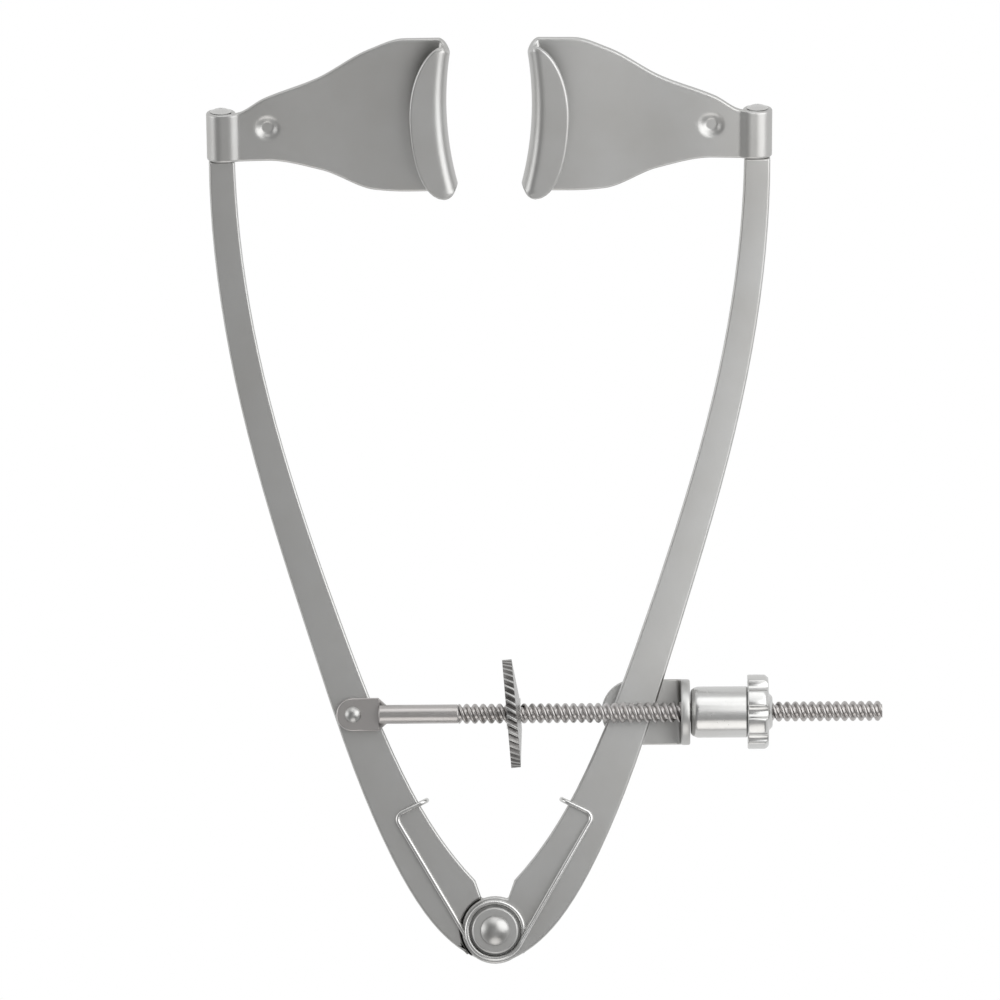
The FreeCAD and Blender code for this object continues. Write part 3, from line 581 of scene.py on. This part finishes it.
# %% Measure the rod
rod_low, rod_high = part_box("adjusting_rod")
nut_low, nut_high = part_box("toothed_nut")
rod_axis = Vector((0, (rod_low.y + rod_high.y) / 2, (nut_low.z + nut_high.z) / 2))
thread_radius = 1.0 * MM
thread_root = 0.66 * MM
thread_lead = 1.64 * MM
thread_start = -3.5 * MM
rod_end = rod_high.x
print("screw", round((rod_end - thread_start) / MM, 1), "mm long")

# %% Draw the profile
# Points of one tooth: how far along its half of the lead, and how high from root to crest.
tooth = [(0.0, 0.0), (0.16, 0.06), (0.34, 0.86), (0.43, 1.0), (0.57, 1.0), (0.66, 0.86), (0.84, 0.06)]


def thread_profile():
    """One lead of two rounded teeth, as steps along the axis and radii."""
    depth = thread_radius - thread_root
    rows = [(start + step / 2, thread_root + height * depth) for start in (0, 0.5) for step, height in tooth]
    rows.append((1.0, thread_root))
    return rows


# A plane is added for its object, and its mesh gives way to the profile's line.
bpy.ops.object.select_all(action="DESELECT")
bpy.ops.mesh.primitive_plane_add(size=1 * MM)
thread = bpy.context.view_layer.objects.active
thread.name = "screw_thread"
line = bpy.data.meshes.new("screw_thread")
points = [(step * thread_lead, 0, radius) for step, radius in thread_profile()]
line.from_pydata(points, [(i, i + 1) for i in range(len(points) - 1)], [])
thread.data = line
print("profile points", len(points))

# %% Turn it into a helix
seam_gap = 0.0005 * MM
steps_around = 28
screw = thread.modifiers.new("helix", "SCREW")
screw.axis = "X"
screw.angle = math.tau
screw.screw_offset = thread_lead
screw.iterations = math.ceil((rod_end - thread_start) / thread_lead) + 2
screw.steps = steps_around
screw.render_steps = steps_around
screw.use_merge_vertices = True
screw.merge_threshold = seam_gap
bpy.ops.object.modifier_apply(modifier=screw.name)
thread.location = (thread_start - thread_lead, rod_axis.y, rod_axis.z)
bpy.ops.object.transform_apply(location=True, rotation=True, scale=True)
print("helix points", len(thread.data.vertices))

# %% Cut its ends square
cut_tolerance = 0.0001 * MM
end_gap = 0.02 * MM


def cut_square(place, keep_left):
    """Cut the mesh square across at x = place, drop one side and fill the cut."""
    bpy.ops.mesh.select_all(action="SELECT")
    bpy.ops.mesh.bisect(
        plane_co=(place, 0, 0),
        plane_no=(1, 0, 0),
        use_fill=True,
        clear_inner=not keep_left,
        clear_outer=keep_left,
        threshold=cut_tolerance,
    )


edit_all()
bpy.ops.mesh.remove_doubles(threshold=seam_gap)
cut_square(thread_start, keep_left=False)
cut_square(rod_end - end_gap, keep_left=True)
bpy.ops.mesh.select_all(action="SELECT")
bpy.ops.mesh.normals_make_consistent(inside=False)
bpy.ops.object.mode_set(mode="OBJECT")
bpy.ops.object.shade_smooth_by_angle(angle=math.radians(50))
print("thread faces", len(thread.data.polygons))

# %% [markdown]
# ## The rod's eye and shank
# The rest of the rod is a flat eye on the left arm, a sloping neck and a plain round shank. They
# could be modelled from a cylinder, but the CAD solid has them already, so a copy of it is cut off
# where the thread starts. The Bevel operator then rounds the eye's edges alone, picked by their
# angle and their place, so that the cut at the thread stays square.

# %% Keep the plain end of the rod
seat_gap = 0.01 * MM
shank = merged_copy("adjusting_rod", "rod_shank")
edit_all()
cut_square(thread_start - seat_gap, keep_left=True)
bpy.ops.object.mode_set(mode="OBJECT")
print("shank points", len(shank.data.vertices))

# %% Round the eye
eye_radius, eye_length = 1.65, 2.55
eye_edge = 0.16
eye_end = rod_low.x + (eye_radius + eye_length) * MM
bpy.ops.object.mode_set(mode="EDIT")
bpy.ops.mesh.select_mode(type="EDGE")
bpy.ops.mesh.select_all(action="DESELECT")
bpy.ops.mesh.edges_select_sharp(sharpness=math.radians(60))
bpy.ops.object.mode_set(mode="OBJECT")
spots = shank.data.vertices
for edge in shank.data.edges:
    edge.select = edge.select and max(spots[i].co.x for i in edge.vertices) < eye_end + seat_gap
bpy.ops.object.mode_set(mode="EDIT")
bpy.ops.mesh.bevel(offset=eye_edge * MM, segments=3, affect="EDGES")
bpy.ops.mesh.select_mode(type="VERT")
bpy.ops.object.mode_set(mode="OBJECT")
shade_rounds(shank, math.radians(30))
print("shank faces", len(shank.data.polygons))
attach(shank, "adjusting_rod")
attach(thread, "adjusting_rod")

# %% [markdown]
# ## The torsion spring
# One wire makes a coil round the bush and a leg on each arm. When the arms open, each leg stays on its own
# arm and the coil takes up the turn. Two halves could move with an arm each, but they would part in the
# coil. So the wire is one piece: a merged copy of the CAD spring, shaded smooth, that stands in for it.

# %% Copy the wire as one piece
wire = merged_copy("torsion_spring", "coil_spring")
bpy.ops.object.shade_smooth_by_angle(angle=math.radians(60))
dress(wire, "torsion_spring")
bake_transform(wire)
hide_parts("torsion_spring")
print("wire faces", len(wire.data.polygons))

# %% [markdown]
# ## Floor and backdrop
# The photograph has the instrument on pure white, as in a catalogue. A large plain sheet lies under
# it. More light would make it white too, but would bleach the steel. So its material is white to
# the camera and to reflections, through Light Path, and the lamps stay at a plain level.

# %% A sheet that is seen as white


def make_sheet_material():
    """White to the camera and to reflections, and a pale cloth to the light."""
    sheet = bpy.data.materials.new("white_sheet")
    sheet.use_nodes = True
    nodes, links = sheet.node_tree.nodes, sheet.node_tree.links
    nodes.clear()
    out = nodes.new("ShaderNodeOutputMaterial")
    mix = nodes.new("ShaderNodeMixShader")
    cloth = nodes.new("ShaderNodeBsdfDiffuse")
    cloth.inputs["Color"].default_value = (0.88, 0.88, 0.88, 1)
    glow = nodes.new("ShaderNodeEmission")
    glow.inputs["Color"].default_value = (1, 1, 1, 1)
    glow.inputs["Strength"].default_value = 1.0
    path = nodes.new("ShaderNodeLightPath")
    seen = nodes.new("ShaderNodeMath")
    seen.operation = "MAXIMUM"
    links.new(path.outputs["Is Camera Ray"], seen.inputs[0])
    links.new(path.outputs["Is Glossy Ray"], seen.inputs[1])
    links.new(seen.outputs["Value"], mix.inputs["Fac"])
    links.new(cloth.outputs["BSDF"], mix.inputs[1])
    links.new(glow.outputs["Emission"], mix.inputs[2])
    links.new(mix.outputs["Shader"], out.inputs["Surface"])
    return sheet


# %% Lay the sheet
floor_size = 1.6
floor_drop = 0.0005
middle_y = 0.045
lowest = min(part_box(node)[0].z for node in frame["nodes"])
bpy.ops.object.select_all(action="DESELECT")
bpy.ops.mesh.primitive_plane_add(size=floor_size, location=(0, middle_y, lowest - floor_drop))
floor = bpy.context.view_layer.objects.active
floor.name = "floor"
bpy.ops.object.transform_apply(location=True, rotation=True, scale=True)
floor.data.materials.append(make_sheet_material())
print("floor at", round((lowest - floor_drop) / MM, 2), "mm")

# %% [markdown]
# ## Light
# Polished metal shows its room, so the room is built to give what the photograph shows: a soft grey
# patch overhead for the flat faces, a darker ring round it, and white further down. The white floor
# shows in every rounded edge as a pale line. A panorama of a studio could light it too, but a
# spherical gradient in the world is plain and easy to change. The patch is laid a little towards
# the pivot. Two large panels at top and bottom make the pale bands along the sleeve, a third lights
# the sides that face left, and one small lamp close on the right makes the right arm paler than the
# left one.

# %% Paint the tent
# Stops from low down to overhead, each with its grey.
patch_shift = 0.16
tent = [(0.0, 0.95), (0.20, 0.42), (0.50, 0.22), (0.68, 0.50), (1.0, 0.55)]
world = bpy.data.worlds.new("tent")
scene.world = world
world.use_nodes = True
tent_nodes, tent_links = world.node_tree.nodes, world.node_tree.links
sky = tent_nodes["Background"]
direction = tent_nodes.new("ShaderNodeTexCoord")
patch = tent_nodes.new("ShaderNodeMapping")
patch.inputs["Location"].default_value = (0, patch_shift, 0)
patch.inputs["Scale"].default_value = (1, 1, 0)
ball = tent_nodes.new("ShaderNodeTexGradient")
ball.gradient_type = "SPHERICAL"
shade = tent_nodes.new("ShaderNodeValToRGB")
tent_links.new(direction.outputs["Generated"], patch.inputs["Vector"])
tent_links.new(patch.outputs["Vector"], ball.inputs["Vector"])
tent_links.new(ball.outputs["Fac"], shade.inputs["Fac"])
tent_links.new(shade.outputs["Color"], sky.inputs["Color"])
while len(shade.color_ramp.elements) < len(tent):
    shade.color_ramp.elements.new(0.5)
for stop, (height, grey) in zip(shade.color_ramp.elements, tent):
    stop.position = height
    stop.color = (grey, grey, grey, 1)
sky.inputs["Strength"].default_value = 1.0
print("tent stops", len(shade.color_ramp.elements))

# %% Hang the lamps


def add_lamp(name, place, aim, width, glow, colour=(1, 1, 1)):
    """A round lamp of a width in metres, as bright as a white sheet times glow."""
    bpy.ops.object.select_all(action="DESELECT")
    bpy.ops.object.light_add(type="AREA", location=place)
    lamp = bpy.context.view_layer.objects.active
    lamp.name = name
    lamp.data.shape = "DISK"
    lamp.data.size = width
    lamp.data.energy = glow * math.pi * math.pi * width**2 / 4
    lamp.data.color = colour
    lamp.rotation_euler = (Vector(aim) - Vector(place)).to_track_quat("-Z", "Y").to_euler()
    lamp.visible_camera = False


add_lamp("near_right", (0.090, 0.065, 0.10), (0.025, 0.06, 0.0), 0.16, 2.0)
add_lamp("panel_top", (0, 0.33, 0.26), (0, middle_y, 0), 0.30, 1.0)
add_lamp("panel_low", (0, -0.31, 0.20), (0, middle_y, 0), 0.30, 1.4, (1.0, 0.98, 0.96))
add_lamp("panel_left", (-0.33, 0.06, 0.14), (0, 0.06, 0), 0.26, 1.2)

# %% [markdown]
# ## Camera
# The photograph looks straight down, from far enough away that near and far parts are drawn to one
# scale: a tenth of a millimetre to the pixel, in a frame of 1000 by 1000 pixels. The pivot is near
# its lower edge, and the instrument lies turned by less than half a degree. A camera without
# perspective would do, but a long lens two metres up gives the same picture and is a real one.

# %% Place the camera
photo_pixels = 1000
photo_pixel = 0.1 * MM
pivot_pixel = (495.2, 929.6)
photo_roll = math.radians(0.42)
camera_height = 2.0
sensor_width = 36
offset_x = (photo_pixels / 2 - pivot_pixel[0]) * photo_pixel
offset_y = (pivot_pixel[1] - photo_pixels / 2) * photo_pixel
centre = Matrix.Rotation(-photo_roll, 4, "Z") @ Vector((offset_x, offset_y, 0))
bpy.ops.object.select_all(action="DESELECT")
bpy.ops.object.camera_add(location=(centre.x, centre.y, camera_height), rotation=(0, 0, -photo_roll))
camera = bpy.context.view_layer.objects.active
camera.data.sensor_width = sensor_width
camera.data.lens = sensor_width * camera_height / (photo_pixels * photo_pixel)
camera.data.clip_end = 10
camera.data.clip_start = 0.05
scene.camera = camera
scene.view_settings.view_transform = "Standard"
print("lens", round(camera.data.lens), "mm")
